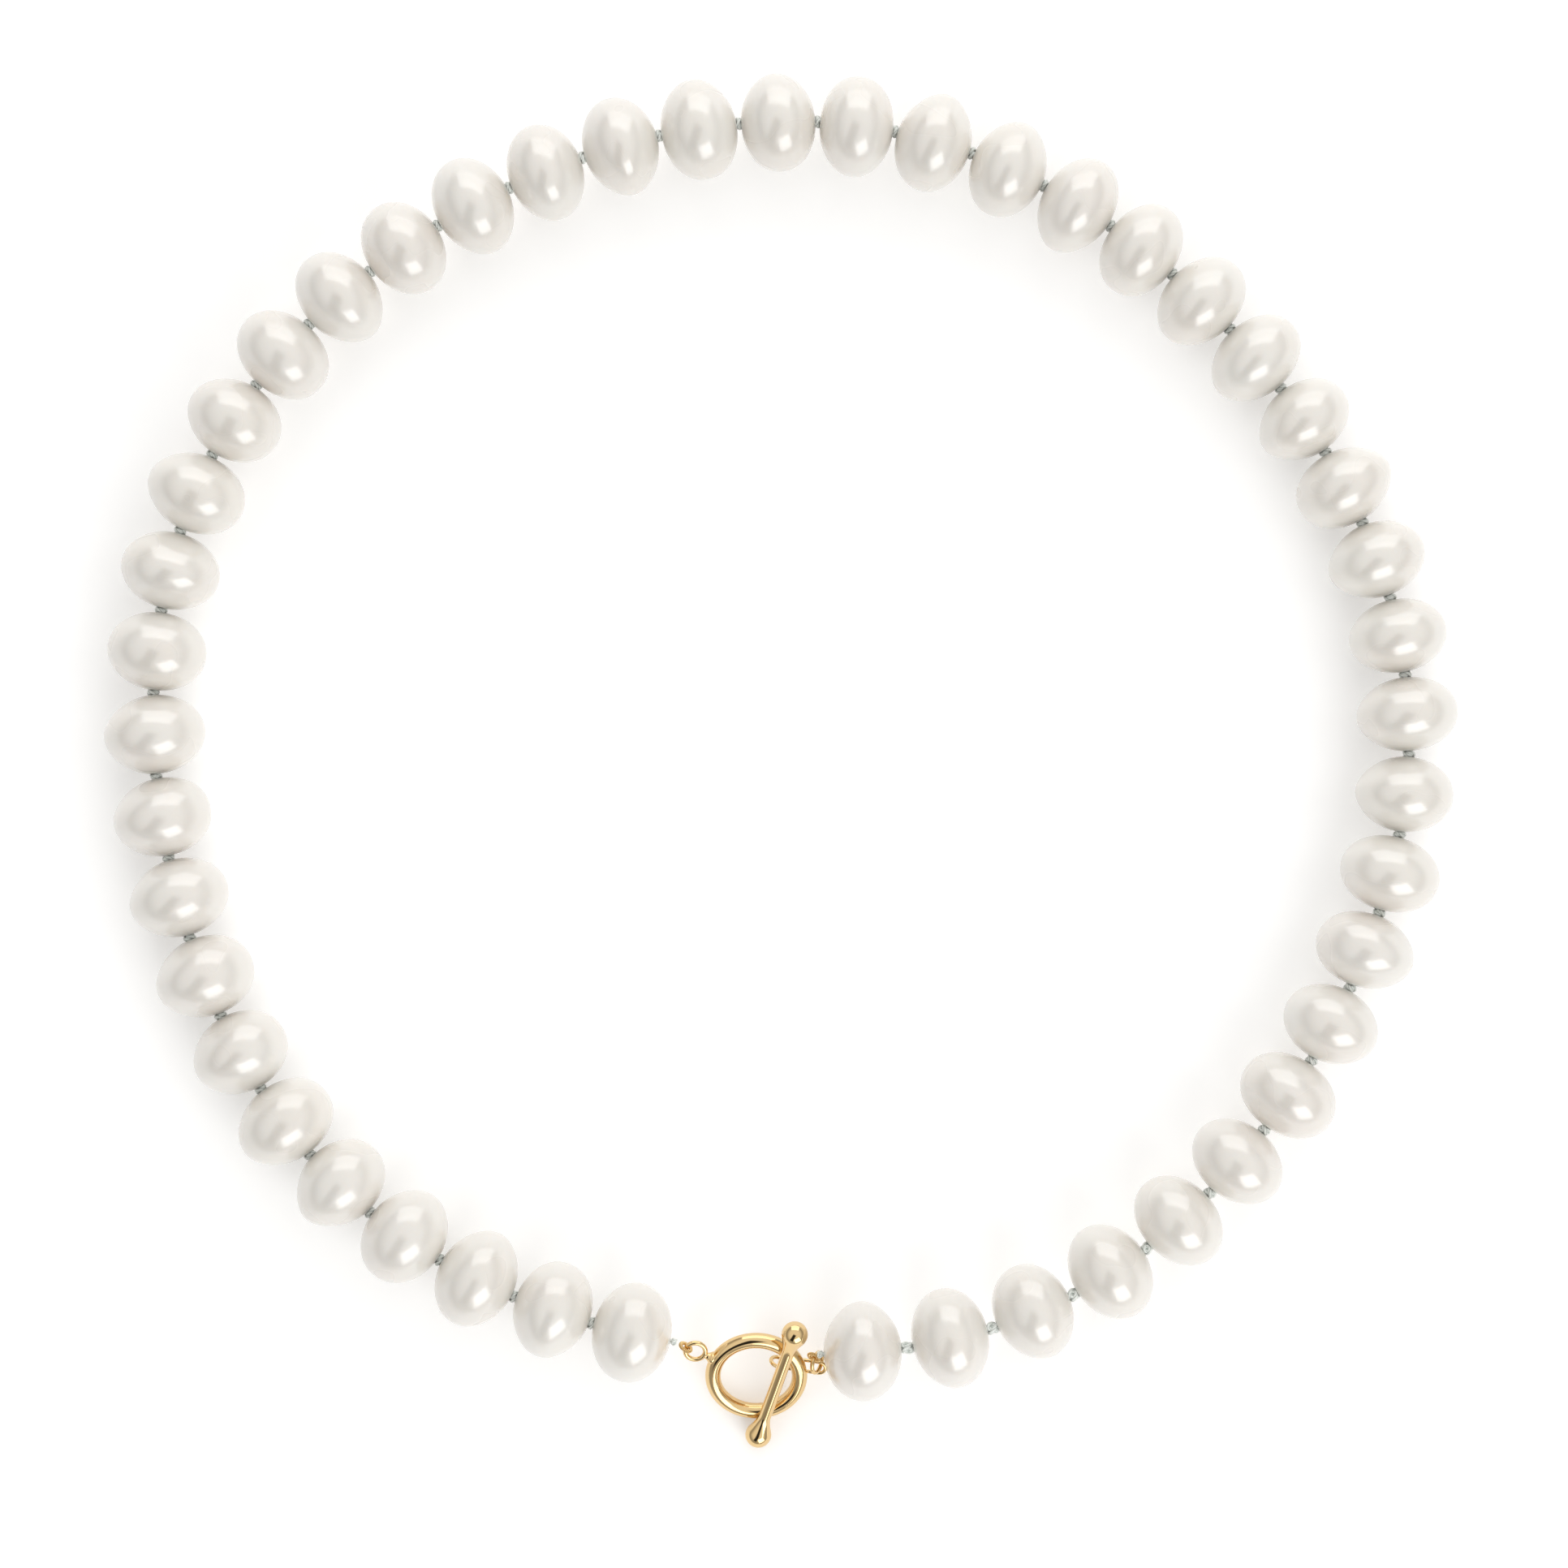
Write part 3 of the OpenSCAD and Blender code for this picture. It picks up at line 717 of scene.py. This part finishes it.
def makeGimpTree():
    look = gimpLook
    tree, given = startTree("coiledLoop", {
        "Middle": Vector(), "Ahead": Vector((1, 0, 0)), "Aside": Vector((0, 1, 0)), "Upwards": Vector((0, 0, 1)),
        "Radius": 0.00068, "Coil": 0.0002, "Wire": 0.00005, "Turns": 30, "Material": coilGold})
    steps = look["turns"] * look["stepsPerTurn"]
    loop = put(tree, "GeometryNodeCurvePrimitiveCircle", {"Resolution": steps, "Radius": 1.0}, "Curve")
    turn = calc(tree, "MULTIPLY", put(tree, "GeometryNodeInputIndex", out="Index"), 2 * math.pi / steps)
    coilTurn = calc(tree, "MULTIPLY", turn, given["Turns"])
    reach = calc(tree, "ADD", given["Radius"], calc(tree, "MULTIPLY", given["Coil"], calc(tree, "COSINE", coilTurn)))
    spotAt = placed(tree, given["Middle"], (given["Ahead"], given["Aside"], given["Upwards"]),
                    (calc(tree, "MULTIPLY", reach, calc(tree, "COSINE", turn)),
                     calc(tree, "MULTIPLY", reach, calc(tree, "SINE", turn)),
                     calc(tree, "MULTIPLY", given["Coil"], calc(tree, "SINE", coilTurn))))
    loop = put(tree, "GeometryNodeSetPosition", {"Geometry": loop, "Position": spotAt}, "Geometry")
    section = put(tree, "GeometryNodeCurvePrimitiveCircle", {"Resolution": look["sides"], "Radius": given["Wire"]},
                  "Curve")
    wire = put(tree, "GeometryNodeCurveToMesh", {"Curve": loop, "Profile Curve": section}, "Mesh")
    endTree(tree, wire, given["Material"])
    return tree


gimpTree = makeGimpTree()
for name, node, body, knot, beside in (
        ("gimpLeft", "gimp_left", "pearl_01", 0, claspUp),
        ("gimpRight", "gimp_right", pearlName(pearlCount), pearlCount, endRingWay)):
    look = gimpLook
    middle = middleOf(node)
    ahead = (middle - knotAt[knot]).normalized()
    upwards = ahead.cross(beside).normalized()
    gimpMesh = growMesh(gimpTree, {"Middle": middle, "Ahead": ahead, "Upwards": upwards,
                        "Aside": upwards.cross(ahead), "Radius": look["radius"], "Coil": look["coil"],
                        "Wire": look["wire"], "Turns": look["turns"]})
    addMetal(name, gimpMesh, body, [node], coilGold)
print("gimp coiled")

floorLook = {
    "size": 3.0, "drop": 0.03 * mm, "colour": (0.90, 0.90, 0.90, 1), "fleck": (0.94, 0.94, 0.94, 1), "grain": 30.0,
    "glow": 0.24,  # it shines a little, as a lit table does
}


def makeFloor():
    mesh = bpy.data.meshes.new("paleFloor")
    half = floorLook["size"] / 2
    mesh.from_pydata([(-half, -half, 0), (half, -half, 0), (half, half, 0), (-half, half, 0)], [], [(0, 1, 2, 3)])
    mesh.transform(Matrix.Translation((0, 0, cadBox[0].z - floorLook["drop"])))
    floor = addObject("paleFloor", mesh)
    material, tree, shader, where = startMaterial("palePaper")
    grain = calc(tree, "MULTIPLY", noise(tree, where, floorLook["grain"], 2.0), 0.2)
    plug(tree, shader["Base Color"], blendColours(tree, grain, floorLook["colour"], floorLook["fleck"]))
    shader["Roughness"].default_value = 0.9
    shader["Emission Color"].default_value = (1, 1, 1, 1)
    shader["Emission Strength"].default_value = floorLook["glow"]
    mesh.materials.append(material)


lightLook = {
    "dome": (1.0, 0.99, 0.975), "domeStrength": 0.97,
    "horizon": 0.92, "dip": 0.36,  # the dome's brightness where it meets the floor, and a little above that
    "slot": {"ahead": 209, "tilt": 31, "turn": 209, "halfLength": 0.62, "halfWidth": 0.28},
    "softboxes": [
        # name, direction round the loop, tilt from overhead, distance, width, height, brightness
        ("keyBox", 155, 58, 0.75, 0.56, 0.48, 2.3),
        ("backBox", 5, 64, 0.80, 1.0, 0.66, 1.3),
    ],
}


def skyWay(turn, tilt):
    # turn is clockwise from the back, tilt is from overhead
    turn, tilt = math.radians(turn), math.radians(tilt)
    return Vector((math.sin(turn) * math.sin(tilt), math.cos(turn) * math.sin(tilt), math.cos(tilt)))


def makeDome():
    world = bpy.data.worlds.new("studioDome")
    scene.world = world
    world.use_nodes = True
    tree = world.node_tree
    shader = next(n for n in tree.nodes if n.type == "BACKGROUND")
    way = put(tree, "ShaderNodeTexCoord").outputs["Generated"]

    def against(vector):
        node = put(tree, "ShaderNodeVectorMath", operation="DOT_PRODUCT")
        plug(tree, node.inputs[0], way)
        plug(tree, node.inputs[1], vector)
        return node.outputs["Value"]

    slot = lightLook["slot"]
    middle = skyWay(slot["ahead"], slot["tilt"])
    turn = math.radians(slot["turn"])
    along = Vector((math.sin(turn), math.cos(turn), 0))
    along = (along - middle * along.dot(middle)).normalized()
    across = middle.cross(along)
    length = spread(tree, calc(tree, "ABSOLUTE", against(along)), slot["halfLength"], slot["halfLength"] * 0.75)
    width = spread(tree, calc(tree, "ABSOLUTE", against(across)), slot["halfWidth"], slot["halfWidth"] * 0.6)
    above = spread(tree, against(middle), 0.0, 0.1)
    dark = calc(tree, "MULTIPLY", calc(tree, "MULTIPLY", length, width), above)
    height = against(up)
    lower = spread(tree, height, 0.0, 0.24, lightLook["horizon"], lightLook["dip"], "SMOOTHSTEP")
    upper = spread(tree, height, 0.22, 0.8, lightLook["dip"], 1.0, "SMOOTHSTEP")
    level = calc(tree, "MAXIMUM", lower, upper)
    level = calc(tree, "MULTIPLY", level, calc(tree, "SUBTRACT", 1.0, calc(tree, "MULTIPLY", dark, 0.97)))
    plug(tree, shader.inputs["Strength"], calc(tree, "MULTIPLY", level, lightLook["domeStrength"]))
    shader.inputs["Color"].default_value = (*lightLook["dome"], 1)


def makeSoftboxes():
    for name, turn, tilt, distance, width, height, brightness in lightLook["softboxes"]:
        light = bpy.data.lights.new(name, "AREA")
        light.shape, light.size, light.size_y = "RECTANGLE", width, height
        light.energy = brightness * math.pi * width * height
        lamp = bpy.data.objects.new(name, light)
        scene.collection.objects.link(lamp)
        way = skyWay(turn, tilt)
        lamp.location = way * distance
        lamp.rotation_mode = "QUATERNION"
        lamp.rotation_quaternion = way.to_track_quat("Z", "Y")


cameraLook = {"lens": 120.0, "sensor": 36.0, "view": 183.15 * mm, "aim": (0.36 * mm, -2.46 * mm)}


def makeCamera():
    look = cameraLook
    camera = bpy.data.cameras.new("overheadCamera")
    camera.lens, camera.sensor_width = look["lens"], look["sensor"]
    camera.clip_start, camera.clip_end = 0.01, 20
    holder = bpy.data.objects.new("overheadCamera", camera)
    scene.collection.objects.link(holder)
    beadHeight = strand[0]["middle"].z
    holder.location = (*look["aim"], beadHeight + look["view"] * look["lens"] / look["sensor"])
    scene.camera = holder


makeFloor()
makeDome()
makeSoftboxes()
makeCamera()
scene.view_settings.view_transform = "Standard"
print("studio ready")
